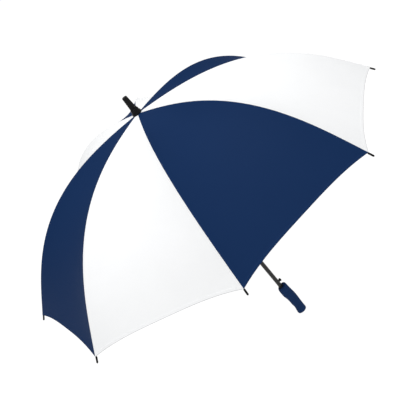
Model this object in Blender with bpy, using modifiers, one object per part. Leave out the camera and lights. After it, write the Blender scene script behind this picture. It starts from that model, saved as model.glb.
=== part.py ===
"""An auto-opening golf umbrella, upright and open, as separate solids.

The shaft stands along +Z with the flat end of the handle at the origin. Rib k lies in the vertical
plane at azimuth 45 * (k - 1) degrees. Each moving piece has its origin on its hinge, and is drawn
once in the plane of rib 1 as (radius, height) and then turned to its own rib's azimuth.

The folding frame is exact for constant ratios: the rib's pivot in the top notch, the stretcher's
pivot on the rib and the stretcher's pivot in the runner make a triangle with two equal sides, so
the runner goes straight down the shaft as the ribs fold. The short struts do the same between the
stretchers and the spring collar.
"""

import math

import bmesh
import bpy
import numpy as np
from mathutils import Matrix, Vector

# Driving dimensions, in metres
RIBS = 8
CANOPY_LENGTH = 0.762  # along a seam, from the centre to the hem: a 60 inch golf umbrella
APEX_Z = 0.9055  # top of the fabric at the shaft
TOTAL_HEIGHT = 0.972
HANDLE_LENGTH = 0.126
SHAFT_R = 0.007
SHAFT_WALL = 0.0009
GAP = 0.0003  # between pieces that touch

# The seam's line: its slope grows from the top to the hem
SEAM_START_R = 0.0144
APEX_SLOPE = math.radians(1.85)
RIM_DROP = math.radians(50.6)
SLOPE_POWER = 1.185
MIDDLE_SLOPE = math.radians(4.95)  # more slope than that, half way along
SCALLOP = 0.0235  # how far the hem is cut back at mid gore, as a share of the length
SCALLOP_POWER = 3.2
SCALLOP_REACH = 3.3  # how much of it is near the hem
GORE_SAG = 0.0345  # how far a gore hangs in, at mid length, from a straight line between its ribs
SAG_START = 0.30  # the share of the length over which the sag sets in
GORE_THICKNESS = 0.0008
SEAM_GAP = 0.0007  # from a gore's edge to the plane of its rib
HALF_GORE = math.pi / RIBS

# Ribs and stretchers
HUB_R = 0.012  # radius of the wires that the ribs, stretchers and struts turn on
RIB_R = 0.0016
RIB_DROP = 0.0032  # from the fabric to the middle of the rib
CLIP_S = 0.340  # where the stretcher meets the rib, along the seam
CLIP_DROP = 0.0055  # from the middle of the rib to the stretcher's pivot
FLEX_S = 0.356  # where the rib bends, along the seam
TIP_LENGTH = 0.0188
TIP_R = 0.0029
CLOSED_ANGLE = math.radians(3.0)  # from the shaft to the inner rib when folded
OUTER_CLOSED_ANGLE = math.radians(0.5)
STRETCHER_R = 0.0016
STRUT_R = 0.0010
STRUT_LENGTH = 0.045
STRUT_OFFSET = 0.0039  # sideways, so that a strut folds beside its stretcher

# Eyes, pins and wires
EYE_R = 0.0018
EYE_HOLE_R = 0.0010
EYE_WIDTH = 0.0024
WIRE_R = 0.00055
WIRE_GROOVE_R = 0.0009
PIN_R = 0.0008
LUG_WIDTH = 0.0016
LUG_R = 0.0022
FORK_WIDTH = 0.0052
FORK_SLOT = 0.0022

# Hubs
HUB_OUTER_R = 0.0142
HUB_HALF_HEIGHT = 0.0035
SLOT_WIDTH = 0.0040
SLOT_FLOOR_R = 0.0099
BORE_R = SHAFT_R + GAP
NECK_R = 0.0083
NECK_TOP = 0.112  # above the runner's pivots
NECK_FLANGE_R = 0.0106
NECK_FLANGE_HEIGHT = 0.002
SKIRT_R = 0.0093
SKIRT_BOTTOM = -0.066
COLLAR_BORE_R = NECK_R + GAP

# Opening spring, on the runner's neck
SPRING_R = 0.0095
SPRING_WIRE_R = 0.0006
SPRING_TURNS = 8
SPRING_POINTS_PER_TURN = 10

# Ferrule and cap
SHAFT_TOP = APEX_Z + 0.030
CAP_BOTTOM = APEX_Z + 0.0005
CAP_TOP = APEX_Z + 0.021

# Handle, ring and button
GRIP_AZIMUTH = HALF_GORE
HANDLE_DEPTH = 0.0155  # half of its width across the grip's plane
HANDLE_SIDES_AT = (  # height, finger side and thumb side, in the grip's plane
    (0.000, -0.0128, 0.0232),
    (0.012, -0.0108, 0.0224),
    (0.030, -0.0084, 0.0226),
    (0.044, -0.0098, 0.0233),
    (0.058, -0.0100, 0.0238),
    (0.074, -0.0116, 0.0236),
    (0.091, -0.0148, 0.0219),
    (0.108, -0.0153, 0.0206),
    (0.126, -0.0146, 0.0196),
)
HANDLE_RINGS = 20
HANDLE_SIDES = 18
HANDLE_TOP_SLOPE = 0.19
SOCKET_BOTTOM = 0.011
SHAFT_BOTTOM = 0.0113
RING_FOOT = 0.112  # the plastic ring where the shaft enters the handle
RING_HEAD = 0.1315
RING_R = 0.0081
COUNTERBORE_R = RING_R + GAP
BUTTON_Z = 0.1465
BUTTON_STEM_R = 0.0042
BUTTON_HOLE_R = 0.0047
BUTTON_HEAD_R = 0.0060
BUTTON_TRAVEL = 0.0025

ROUND_STEPS = 20
NAVY = (0.011, 0.034, 0.105)
WHITE = (0.86, 0.87, 0.90)
BLACK = (0.012, 0.012, 0.013)


# The frame's geometry, as (radius, height) in the plane of a rib


def smooth_step(t):
    return 3 * t**2 - 2 * t**3


def smooth_through(x, xs, ys):
    """A smooth curve through these points."""
    slopes = np.gradient(ys, xs)
    i = int(np.clip(np.searchsorted(xs, x) - 1, 0, len(xs) - 2))
    width = xs[i + 1] - xs[i]
    t = (x - xs[i]) / width
    rise = smooth_step(t)
    return (
        ys[i] * (1 - rise)
        + ys[i + 1] * rise
        + width * t * (1 - t) * (slopes[i] * (1 - t) - slopes[i + 1] * t)
    )


def seam_slope(s):
    """Angle of the seam below the horizontal, at s along it."""
    share = s / CANOPY_LENGTH
    return APEX_SLOPE + RIM_DROP * smooth_step(share**SLOPE_POWER) + MIDDLE_SLOPE * np.sin(math.pi * share)


def seam_table(steps=600):
    s = np.linspace(0, CANOPY_LENGTH, steps + 1)
    slope = seam_slope(s)
    step = s[1]
    across = np.cumsum((np.cos(slope[1:]) + np.cos(slope[:-1])) / 2) * step
    down = np.cumsum((np.sin(slope[1:]) + np.sin(slope[:-1])) / 2) * step
    r = SEAM_START_R + np.concatenate([[0], across])
    z = APEX_Z - np.concatenate([[0], down])
    return s, r, z


SEAM = seam_table()


def seam_point(s):
    return np.array([np.interp(s, SEAM[0], SEAM[1]), np.interp(s, SEAM[0], SEAM[2])])


def inward(s):
    """Unit normal of the seam, towards the shaft."""
    slope = seam_slope(s)
    return np.array([-math.sin(slope), -math.cos(slope)])


def rib_point(s, drop=RIB_DROP):
    return seam_point(s) + inward(s) * drop


def angle_from_shaft(start, end):
    return math.atan2(end[0] - start[0], start[1] - end[1])


NOTCH = np.array([HUB_R, APEX_Z - RIB_DROP])
CLIP = rib_point(CLIP_S, RIB_DROP + CLIP_DROP)
FLEX = rib_point(FLEX_S)
RIB_END = rib_point(CANOPY_LENGTH)
STRETCHER_LENGTH = float(np.linalg.norm(CLIP - NOTCH))
OPEN_ANGLE = angle_from_shaft(NOTCH, CLIP)
RUNNER = np.array([HUB_R, 2 * CLIP[1] - NOTCH[1]])
STRETCHER_DIRECTION = (RUNNER - CLIP) / STRETCHER_LENGTH
STRUT_PIVOT = RUNNER - STRETCHER_DIRECTION * STRUT_LENGTH
COLLAR = np.array([HUB_R, 2 * STRUT_PIVOT[1] - RUNNER[1]])
FOLD = OPEN_ANGLE - CLOSED_ANGLE
OUTER_FOLD = angle_from_shaft(FLEX, RIB_END) - OUTER_CLOSED_ANGLE
FLEX_RATIO = (OUTER_FOLD - FOLD) / FOLD

INNER_STATIONS = np.linspace(0, FLEX_S, 6)
OUTER_STATIONS = np.linspace(FLEX_S, CANOPY_LENGTH, 8)


# Blender helpers


def clear_scene():
    for obj in list(bpy.data.objects):
        bpy.data.objects.remove(obj)


def make_material(name, color, roughness, metallic=0.0):
    material = bpy.data.materials.new(name)
    material.use_nodes = True
    shader = material.node_tree.nodes["Principled BSDF"]
    shader.inputs["Base Color"].default_value = (*color, 1)
    shader.inputs["Roughness"].default_value = roughness
    shader.inputs["Metallic"].default_value = metallic
    material.diffuse_color = (*color, 1)
    return material


def scratch_object(mesh):
    obj = bpy.data.objects.new("scratch", mesh)
    bpy.context.scene.collection.objects.link(obj)
    return obj


def evaluated_mesh(obj):
    """The object's mesh with its modifiers, in world space. The object is removed."""
    bpy.context.view_layer.update()
    graph = bpy.context.evaluated_depsgraph_get()
    mesh = bpy.data.meshes.new_from_object(obj.evaluated_get(graph))
    mesh.transform(obj.matrix_world)
    bpy.data.objects.remove(obj)
    edit = bmesh.new()
    edit.from_mesh(mesh)
    bmesh.ops.remove_doubles(edit, verts=edit.verts, dist=1e-6)
    edit.to_mesh(mesh)
    edit.free()
    return mesh


def combined(base, *steps):
    """base with each (operation, mesh) done to it in turn."""
    for operation, mesh in steps:
        obj = scratch_object(base)
        tool = scratch_object(mesh)
        modifier = obj.modifiers.new(operation.lower(), "BOOLEAN")
        modifier.operation = operation
        modifier.object = tool
        base = evaluated_mesh(obj)
        bpy.data.objects.remove(tool)
    return base


def joined(*meshes):
    """One mesh that holds these separate ones."""
    edit = bmesh.new()
    for mesh in meshes:
        edit.from_mesh(mesh)
    mesh = bpy.data.meshes.new("joined")
    edit.to_mesh(mesh)
    edit.free()
    return mesh


def turned(profile, steps=ROUND_STEPS, closed=False):
    """A profile of (radius, height), down its outer side, turned round Z."""
    mesh = bpy.data.meshes.new("profile")
    edges = [(i, i + 1) for i in range(len(profile) - 1)]
    if closed:
        edges.append((len(profile) - 1, 0))
    mesh.from_pydata([(r, 0, z) for r, z in profile], edges, [])
    obj = scratch_object(mesh)
    screw = obj.modifiers.new("turn", "SCREW")
    screw.steps = screw.render_steps = steps
    screw.use_merge_vertices = True
    screw.merge_threshold = 1e-6
    return evaluated_mesh(obj)


def tube(points, radii, resolution=1):
    """A round rod along these points, with a radius for each."""
    curve = bpy.data.curves.new("rod", "CURVE")
    curve.dimensions = "3D"
    curve.bevel_depth = 1
    curve.bevel_resolution = resolution
    curve.use_fill_caps = True
    spline = curve.splines.new("POLY")
    spline.points.add(len(points) - 1)
    for target, place, radius in zip(spline.points, points, radii):
        target.co = (*place, 1)
        target.radius = radius
    return evaluated_mesh(scratch_object(curve))


def cylinder(radius, start, end, sides=12):
    """A cylinder between two points."""
    start, end = Vector(start), Vector(end)
    edit = bmesh.new()
    bmesh.ops.create_cone(
        edit, cap_ends=True, segments=sides, radius1=radius, radius2=radius, depth=(end - start).length
    )
    turn = Vector((0, 0, 1)).rotation_difference(end - start).to_matrix().to_4x4()
    edit.transform(Matrix.Translation((start + end) / 2) @ turn)
    mesh = bpy.data.meshes.new("cylinder")
    edit.to_mesh(mesh)
    edit.free()
    return mesh


def box(low, high, turn=None):
    """A box between two corners, then turned."""
    edit = bmesh.new()
    bmesh.ops.create_cube(edit, size=1)
    size = Vector(high) - Vector(low)
    edit.transform(Matrix.Translation((Vector(low) + Vector(high)) / 2) @ Matrix.Diagonal((*size, 1)))
    if turn:
        edit.transform(turn)
    mesh = bpy.data.meshes.new("box")
    edit.to_mesh(mesh)
    edit.free()
    return mesh


def torus(major, minor, z, sides=6):
    """A ring of wire, with a flat of its section up, round the shaft at this height."""
    bpy.ops.mesh.primitive_torus_add(
        major_radius=major, minor_radius=minor, major_segments=24, minor_segments=sides, location=(0, 0, z)
    )
    return evaluated_mesh(bpy.context.object)


def in_plane(point, origin, side=0.0):
    """A (radius, height) point of the rib's plane, as x, y, z from a joint there."""
    return (point[0] - origin[0], side, point[1] - origin[1])


def crosswise(point, origin, radius, width, middle=0.0, sides=8):
    """A cylinder across the rib's plane, such as an eye or a pin."""
    return cylinder(
        radius,
        in_plane(point, origin, middle - width / 2),
        in_plane(point, origin, middle + width / 2),
        sides,
    )


def eye(point, origin, middle=0.0, width=EYE_WIDTH):
    return crosswise(point, origin, EYE_R, width, middle)


def eye_hole(point, origin, middle=0.0):
    return crosswise(point, origin, EYE_HOLE_R, 2 * EYE_WIDTH, middle, sides=6)


# Pieces, each as a mesh


def rod_along(points, origin, radius, round_start=False, round_end=False):
    """A rod in the rib's plane, whose free ends are rounded."""
    places = [np.array(p, float) for p in points]
    radii = [radius] * len(places)
    if round_start:
        step = (places[1] - places[0]) / np.linalg.norm(places[1] - places[0]) * radius
        places[0:1] = [places[0], places[0] + step * 0.3, places[0] + step]
        radii[0:1] = [radius * 0.45, radius * 0.8, radius]
    if round_end:
        step = (places[-2] - places[-1]) / np.linalg.norm(places[-2] - places[-1]) * radius
        places[-1:] = [places[-1] + step, places[-1] + step * 0.3, places[-1]]
        radii[-1:] = [radius, radius * 0.8, radius * 0.45]
    return tube([in_plane(p, origin) for p in places], radii)


def inner_rib():
    """From the eye in the notch to where the rib bends, with the lug for its stretcher."""
    line = [rib_point(s) for s in INNER_STATIONS[1:]]
    start = NOTCH + (line[0] - NOTCH) / np.linalg.norm(line[0] - NOTCH) * (EYE_HOLE_R + EYE_R) / 2
    end = FLEX - (FLEX - line[-2]) / np.linalg.norm(FLEX - line[-2]) * GAP / 2
    rod = rod_along([start, *line[:-1], end], NOTCH, RIB_R, round_end=True)
    slope = Matrix.Rotation(seam_slope(CLIP_S), 4, "Y")
    clip = Matrix.Translation(in_plane(CLIP, NOTCH)) @ slope
    lug = box((-LUG_R * 0.85, -LUG_WIDTH / 2, 0), (LUG_R * 0.85, LUG_WIDTH / 2, CLIP_DROP), clip)
    return combined(
        rod,
        ("UNION", eye(NOTCH, NOTCH)),
        ("UNION", lug),
        ("UNION", crosswise(CLIP, NOTCH, LUG_R, LUG_WIDTH + 0.0003, sides=10)),
        ("DIFFERENCE", eye_hole(NOTCH, NOTCH)),
        ("DIFFERENCE", eye_hole(CLIP, NOTCH)),
    )


def outer_rib():
    """From where the rib bends to the end of its tip."""
    line = [rib_point(s) for s in OUTER_STATIONS]
    start = FLEX + (line[1] - FLEX) / np.linalg.norm(line[1] - FLEX) * GAP / 2
    slope = seam_slope(CANOPY_LENGTH)
    along = np.array([math.cos(slope), -math.sin(slope)])
    length = TIP_LENGTH
    tip = [(0.0010, RIB_R), (0.0013, TIP_R), (length * 0.8, TIP_R), (length * 0.93, TIP_R * 0.8), (length, TIP_R * 0.4)]
    places = [start, start + (line[1] - start) * 0.04, *line[1:], *[RIB_END + along * d for d, _ in tip]]
    radii = [RIB_R * 0.45] + [RIB_R] * (len(line)) + [r for _, r in tip]
    return tube([in_plane(p, FLEX) for p in places], radii)


def stretcher():
    """A fork on the rib's lug, a rod, an eye on the runner's wire and a pin for the strut."""
    along = STRETCHER_DIRECTION
    tilt = Matrix.Rotation(math.atan2(-along[1], along[0]), 4, "Y")
    half = FORK_WIDTH / 2
    fork = box((-0.0024, -half, -0.0021), (0.009, half, 0.0021), tilt)
    slot = box((-0.0050, -FORK_SLOT / 2, -0.005), (0.0042, FORK_SLOT / 2, 0.005), tilt)
    rod = tube(
        [in_plane(CLIP + along * 0.0070, CLIP), in_plane(RUNNER - along * (EYE_HOLE_R + EYE_R) / 2, CLIP)],
        [STRETCHER_R] * 2,
    )
    pin_end = STRUT_OFFSET + 0.0013
    return combined(
        fork,
        ("DIFFERENCE", slot),
        ("UNION", crosswise(CLIP, CLIP, PIN_R, FORK_WIDTH - 0.0004, sides=6)),
        ("UNION", rod),
        ("UNION", eye(RUNNER, CLIP)),
        ("DIFFERENCE", eye_hole(RUNNER, CLIP)),
        ("UNION", crosswise(STRUT_PIVOT, CLIP, PIN_R, pin_end, pin_end / 2, sides=6)),
        ("UNION", crosswise(STRUT_PIVOT, CLIP, 0.0014, 0.0006, pin_end + 0.0002, sides=6)),
    )


def strut():
    """A thin link from the stretcher's side to the spring collar."""
    along = (COLLAR - STRUT_PIVOT) / STRUT_LENGTH
    reach = (EYE_HOLE_R + EYE_R) / 2
    rod = tube(
        [
            in_plane(STRUT_PIVOT + along * reach, STRUT_PIVOT, STRUT_OFFSET),
            in_plane(STRUT_PIVOT + along * STRUT_LENGTH * 0.25, STRUT_PIVOT, STRUT_OFFSET),
            in_plane(COLLAR - along * STRUT_LENGTH * 0.25, STRUT_PIVOT),
            in_plane(COLLAR - along * reach, STRUT_PIVOT),
        ],
        [STRUT_R] * 4,
    )
    return combined(
        rod,
        ("UNION", eye(STRUT_PIVOT, STRUT_PIVOT, STRUT_OFFSET, 0.0020)),
        ("UNION", eye(COLLAR, STRUT_PIVOT)),
        ("DIFFERENCE", eye_hole(STRUT_PIVOT, STRUT_PIVOT, STRUT_OFFSET)),
        ("DIFFERENCE", eye_hole(COLLAR, STRUT_PIVOT)),
    )


def gore_point(s, across):
    """A point of the gore's outer face in the frame of its middle line. across is -1 to 1."""
    s = s * (1 - SCALLOP * (1 - abs(across) ** SCALLOP_POWER) * (s / CANOPY_LENGTH) ** SCALLOP_REACH)
    r, z = seam_point(s)
    share = s / CANOPY_LENGTH
    sag = GORE_SAG * math.sin(math.pi * share) * smooth_step(min(1.0, share / SAG_START)) * (1 - across**2)
    offset = inward(s) * sag
    half_width = r * math.sin(HALF_GORE) - SEAM_GAP
    return Vector((r * math.cos(HALF_GORE) + offset[0], across * half_width, z + offset[1]))


def gore(stations, pivot):
    """A part of a gore between two hoops, as a thin shell, from the pivot of its rib's joint."""
    columns = 4
    turn = Matrix.Rotation(HALF_GORE, 4, "Z")
    edit = bmesh.new()
    rows = [
        [
            edit.verts.new(turn @ gore_point(s, -1 + 2 * i / columns) - Vector((pivot[0], 0, pivot[1])))
            for i in range(columns + 1)
        ]
        for s in stations
    ]
    for upper, lower in zip(rows, rows[1:]):
        for i in range(columns):
            edit.faces.new((upper[i], lower[i], lower[i + 1], upper[i + 1]))
    bmesh.ops.triangulate(edit, faces=edit.faces)
    mesh = bpy.data.meshes.new("gore")
    edit.to_mesh(mesh)
    edit.free()
    obj = scratch_object(mesh)
    shell = obj.modifiers.new("shell", "SOLIDIFY")
    shell.thickness = GORE_THICKNESS
    shell.offset = -1
    return evaluated_mesh(obj)


def hub_slots(z, half_height):
    """Eight radial slots, one for each rib."""
    return joined(
        *[
            box(
                (SLOT_FLOOR_R, -SLOT_WIDTH / 2, z - half_height),
                (0.020, SLOT_WIDTH / 2, z + half_height),
                Matrix.Rotation(2 * math.pi * k / RIBS, 4, "Z"),
            )
            for k in range(RIBS)
        ]
    )


def hub(profile, z, half_height=HUB_HALF_HEIGHT + 0.0005):
    """A turned hub with a slot for each rib and a groove for its wire."""
    return combined(
        turned(profile, closed=True),
        ("DIFFERENCE", hub_slots(z, half_height)),
        ("DIFFERENCE", torus(HUB_R, WIRE_GROOVE_R, z)),
    )


def top_notch():
    z = NOTCH[1]
    top, bottom = z + EYE_R, z - 0.006
    rim = 0.001
    profile = [
        (BORE_R, top),
        (HUB_OUTER_R - rim, top),
        (HUB_OUTER_R, top - rim),
        (HUB_OUTER_R, z - 0.0028),
        (0.0105, bottom),
        (BORE_R, bottom),
    ]
    return hub(profile, z, 0.0075)


def runner():
    z = RUNNER[1]
    high, low = z + HUB_HALF_HEIGHT, z - HUB_HALF_HEIGHT
    neck_top = z + NECK_TOP
    bottom = z + SKIRT_BOTTOM
    flange_low = neck_top - NECK_FLANGE_HEIGHT
    profile = [
        (BORE_R, neck_top),
        (NECK_FLANGE_R, neck_top),
        (NECK_FLANGE_R, flange_low),
        (NECK_R, flange_low),
        (NECK_R, high),
        (HUB_OUTER_R, high),
        (HUB_OUTER_R, low),
        (SKIRT_R, low - 0.003),
        (SKIRT_R, bottom + 0.030),
        (SKIRT_R + 0.0012, bottom + 0.028),
        (SKIRT_R + 0.0012, bottom + 0.025),
        (SKIRT_R, bottom + 0.023),
        (SKIRT_R, bottom + 0.009),
        (0.0118, bottom + 0.002),
        (0.0118, bottom),
        (BORE_R, bottom),
    ]
    return hub(profile, z)


def spring_collar():
    """The hub that slides on the runner's neck. Its wire is moulded in."""
    z = COLLAR[1]
    high, low = z + HUB_HALF_HEIGHT, z - HUB_HALF_HEIGHT
    ring = turned(
        [(COLLAR_BORE_R, high), (HUB_OUTER_R, high), (HUB_OUTER_R, low), (COLLAR_BORE_R, low)], closed=True
    )
    return combined(
        ring,
        ("DIFFERENCE", hub_slots(z, HUB_HALF_HEIGHT + 0.001)),
        ("UNION", torus(HUB_R, WIRE_R, z)),
    )


def opening_spring():
    low = COLLAR[1] + HUB_HALF_HEIGHT + GAP + SPRING_WIRE_R
    high = RUNNER[1] + NECK_TOP - NECK_FLANGE_HEIGHT - GAP - SPRING_WIRE_R
    count = SPRING_TURNS * SPRING_POINTS_PER_TURN
    places = []
    for i in range(count + 1):
        angle = 2 * math.pi * i / SPRING_POINTS_PER_TURN
        height = low + (high - low) * i / count
        places.append((SPRING_R * math.cos(angle), SPRING_R * math.sin(angle), height))
    return tube(places, [SPRING_WIRE_R] * len(places))


def shaft_tube():
    inner = SHAFT_R - SHAFT_WALL
    profile = [(inner, SHAFT_TOP), (SHAFT_R, SHAFT_TOP), (SHAFT_R, SHAFT_BOTTOM), (inner, SHAFT_BOTTOM)]
    return combined(turned(profile, closed=True), ("DIFFERENCE", button_hole()))


def ferrule_cap():
    profile = [
        (BORE_R, CAP_TOP),
        (0.0118, CAP_TOP),
        (0.0126, CAP_TOP - 0.002),
        (0.0138, CAP_BOTTOM + 0.011),
        (0.0154, CAP_BOTTOM + 0.006),
        (0.0161, CAP_BOTTOM + 0.003),
        (0.0157, CAP_BOTTOM),
        (BORE_R, CAP_BOTTOM),
    ]
    return turned(profile, closed=True)


def ferrule():
    low = CAP_TOP + GAP
    profile = [
        (0, TOTAL_HEIGHT),
        (0.0066, TOTAL_HEIGHT),
        (0.0081, TOTAL_HEIGHT - 0.0010),
        (0.0085, TOTAL_HEIGHT - 0.0032),
        (0.0104, low + 0.004),
        (0.0108, low + 0.002),
        (0.0108, low),
        (BORE_R, low),
        (BORE_R, SHAFT_TOP + GAP),
        (0, SHAFT_TOP + GAP),
    ]
    return turned(profile)


def handle_outline(z):
    """The grip's two sides at this height, in its own plane: the finger side, then the thumb side."""
    heights, fingers, thumb = np.array(HANDLE_SIDES_AT).T
    return smooth_through(z, heights, fingers), smooth_through(z, heights, thumb)


def handle_grip():
    """A lofted grip with finger waves, a sloping top and a flat end, bored for the shaft."""
    edit = bmesh.new()
    ends = [(0.0, 0.80), (0.0015, 0.91), (0.005, 0.98)]
    middle = np.linspace(0.011, HANDLE_LENGTH - 0.009, HANDLE_RINGS - 2 * len(ends))
    levels = ends + [(z, 1.0) for z in middle] + [(HANDLE_LENGTH - z, share) for z, share in reversed(ends)]
    rings = []
    for z, share in levels:
        fingers, thumb = handle_outline(z)
        centre, half = (fingers + thumb) / 2, (thumb - fingers) / 2
        slope = HANDLE_TOP_SLOPE * (z / HANDLE_LENGTH) ** 3
        ring = []
        for i in range(HANDLE_SIDES):
            angle = 2 * math.pi * i / HANDLE_SIDES
            x = centre + half * share * math.cos(angle)
            y = HANDLE_DEPTH * share * math.sin(angle)
            ring.append(edit.verts.new((x, y, z + slope * (x - centre))))
        rings.append(ring)
    for lower, upper in zip(rings, rings[1:]):
        for i in range(HANDLE_SIDES):
            j = (i + 1) % HANDLE_SIDES
            edit.faces.new((lower[i], lower[j], upper[j], upper[i]))
    edit.faces.new(list(reversed(rings[0])))
    edit.faces.new(rings[-1])
    edit.transform(Matrix.Rotation(GRIP_AZIMUTH, 4, "Z"))
    mesh = bpy.data.meshes.new("handle")
    edit.to_mesh(mesh)
    edit.free()
    above = HANDLE_LENGTH + 0.02
    socket = cylinder(BORE_R, (0, 0, SOCKET_BOTTOM), (0, 0, above), ROUND_STEPS)
    counterbore = cylinder(COUNTERBORE_R, (0, 0, RING_FOOT - GAP), (0, 0, above), ROUND_STEPS)
    return combined(mesh, ("DIFFERENCE", socket), ("DIFFERENCE", counterbore))


def grip_direction(distance, z):
    """A point out from the shaft on the thumb side of the grip."""
    return (distance * math.cos(GRIP_AZIMUTH), distance * math.sin(GRIP_AZIMUTH), z)


def button_hole():
    return cylinder(BUTTON_HOLE_R, grip_direction(0.003, BUTTON_Z), grip_direction(0.012, BUTTON_Z))


def handle_ring():
    profile = [
        (BORE_R, RING_HEAD),
        (RING_R - 0.0006, RING_HEAD),
        (RING_R, RING_HEAD - 0.0012),
        (RING_R, RING_FOOT),
        (BORE_R, RING_FOOT),
    ]
    return turned(profile, closed=True)


def push_button():
    """Turned round its own axis, which points out of the shaft."""
    profile = [
        (0, 0.0160),
        (0.0030, 0.0157),
        (0.0050, 0.0148),
        (BUTTON_HEAD_R, 0.0135),
        (BUTTON_HEAD_R, 0.0120),
        (0.0050, 0.0110),
        (BUTTON_STEM_R, 0.0110),
        (BUTTON_STEM_R, 0.0036),
        (0, 0.0036),
    ]
    mesh = turned(profile, steps=12)
    mesh.transform(Matrix.Rotation(GRIP_AZIMUTH, 4, "Z") @ Matrix.Rotation(math.pi / 2, 4, "Y"))
    return mesh


# The assembly


def place(name, mesh, material, collection, location=(0, 0, 0), azimuth=0.0):
    obj = bpy.data.objects.new(name, mesh)
    obj.location = location
    obj.rotation_euler = (0, 0, azimuth)
    if not mesh.materials:
        mesh.materials.append(material)
    mesh.shade_smooth()
    mesh.set_sharp_from_angle(angle=math.radians(35))
    collection.objects.link(obj)
    return obj


def at_azimuth(point, azimuth):
    return (point[0] * math.cos(azimuth), point[0] * math.sin(azimuth), point[1])


def build():
    clear_scene()
    collection = bpy.data.collections.new("golf_umbrella")
    bpy.context.scene.collection.children.link(collection)

    navy = make_material("navy_fabric", NAVY, 0.75)
    white = make_material("white_fabric", WHITE, 0.75)
    foam = make_material("navy_foam", NAVY, 0.85)
    black_plastic = make_material("black_plastic", BLACK, 0.35)
    black_metal = make_material("black_painted_metal", BLACK, 0.3)
    fibreglass = make_material("black_fibreglass", (0.02, 0.02, 0.022), 0.4)
    steel = make_material("zinc_steel", (0.55, 0.56, 0.58), 0.35, 1.0)

    for name, mesh, material in [
        ("shaft_tube", shaft_tube(), black_metal),
        ("ferrule", ferrule(), black_plastic),
        ("ferrule_cap", ferrule_cap(), black_plastic),
        ("top_notch", top_notch(), black_plastic),
        ("notch_wire", torus(HUB_R, WIRE_R, NOTCH[1]), steel),
        ("runner", runner(), black_plastic),
        ("runner_wire", torus(HUB_R, WIRE_R, RUNNER[1]), steel),
        ("spring_collar", spring_collar(), black_plastic),
        ("opening_spring", opening_spring(), steel),
        ("handle_grip", handle_grip(), foam),
        ("handle_ring", handle_ring(), black_plastic),
    ]:
        place(name, mesh, material, collection)
    place("push_button", push_button(), black_plastic, collection, (0, 0, BUTTON_Z))

    repeated = [
        ("rib_{}_inner", inner_rib(), fibreglass, NOTCH),
        ("rib_{}_outer", outer_rib(), fibreglass, FLEX),
        ("stretcher_{}", stretcher(), black_metal, CLIP),
        ("strut_{}", strut(), black_metal, STRUT_PIVOT),
    ]
    upper = gore([*INNER_STATIONS[:-1], FLEX_S - GAP], NOTCH)
    lower = gore([FLEX_S + GAP, *OUTER_STATIONS[1:]], FLEX)
    for k in range(RIBS):
        azimuth = 2 * math.pi * k / RIBS
        for name, mesh, material, pivot in repeated:
            place(name.format(k + 1), mesh, material, collection, at_azimuth(pivot, azimuth), azimuth)
        cloth = (navy, white)[k % 2]
        for part, mesh, pivot in (("upper", upper, NOTCH), ("lower", lower, FLEX)):
            own = mesh.copy()
            own.materials.clear()
            name = f"gore_{k + 1}_{part}"
            place(name, own, cloth, collection, at_azimuth(pivot, azimuth), azimuth)


if __name__ == "__main__":
    build()
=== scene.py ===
"""An auto-opening golf umbrella, open and upright on a white floor.

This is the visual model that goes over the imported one, in the same frame: the shaft stands along +Z with
the flat end of the handle at the origin, and rib k lies at azimuth 45 * (k - 1) degrees. Lengths are in
metres.
"""

import math

import bmesh
import bpy
import numpy as np
from mathutils import Matrix, Vector


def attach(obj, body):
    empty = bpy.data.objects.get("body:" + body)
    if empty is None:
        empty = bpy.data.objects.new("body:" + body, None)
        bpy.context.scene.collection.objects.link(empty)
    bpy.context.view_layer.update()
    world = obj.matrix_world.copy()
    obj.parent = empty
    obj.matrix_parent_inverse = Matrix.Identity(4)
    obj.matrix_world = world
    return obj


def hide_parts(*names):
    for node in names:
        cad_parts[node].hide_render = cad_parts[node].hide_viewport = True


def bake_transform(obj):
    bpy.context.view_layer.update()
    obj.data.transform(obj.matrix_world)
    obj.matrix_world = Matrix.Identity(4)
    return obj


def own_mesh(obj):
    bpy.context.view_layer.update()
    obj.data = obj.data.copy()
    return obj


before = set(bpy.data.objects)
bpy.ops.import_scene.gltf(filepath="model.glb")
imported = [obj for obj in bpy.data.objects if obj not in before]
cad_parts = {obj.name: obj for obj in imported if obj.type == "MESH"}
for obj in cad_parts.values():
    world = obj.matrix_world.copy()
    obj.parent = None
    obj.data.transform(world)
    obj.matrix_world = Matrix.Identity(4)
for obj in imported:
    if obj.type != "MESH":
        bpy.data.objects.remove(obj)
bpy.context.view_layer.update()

# The frame's dimensions, as the CAD has them
RIBS = 8
HALF_GORE = math.pi / RIBS
CANOPY_LENGTH = 0.762
APEX_Z = 0.9055
TOTAL_HEIGHT = 0.972
SEAM_START_R = 0.0144
APEX_SLOPE = math.radians(1.85)
RIM_DROP = math.radians(50.6)
SLOPE_POWER = 1.185
MIDDLE_SLOPE = math.radians(4.95)
SCALLOP = 0.0235
SCALLOP_POWER = 3.2
SCALLOP_REACH = 3.3
GORE_SAG = 0.0345
SAG_START = 0.30
HUB_R = 0.012
RIB_R = 0.0016
RIB_DROP = 0.0032
CLIP_S = 0.340
CLIP_DROP = 0.0055
FLEX_S = 0.356
TIP_LENGTH = 0.0188
TIP_R = 0.0029
STRETCHER_R = 0.0016
STRUT_R = 0.0010
STRUT_LENGTH = 0.045
STRUT_OFFSET = 0.0039
EYE_R = 0.0018
EYE_HOLE_R = 0.0010
EYE_WIDTH = 0.0024
WIRE_R = 0.00055
HUB_OUTER_R = 0.0142
HUB_HALF_HEIGHT = 0.0035
SLOT_WIDTH = 0.0040
SLOT_FLOOR_R = 0.0099
SHAFT_R = 0.007
SHAFT_WALL = 0.0009
SHAFT_TOP = APEX_Z + 0.030
SHAFT_BOTTOM = 0.0113
BORE_R = 0.0073
NECK_R = 0.0083
NECK_TOP = 0.112
NECK_FLANGE_R = 0.0106
NECK_FLANGE_HEIGHT = 0.002
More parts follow.
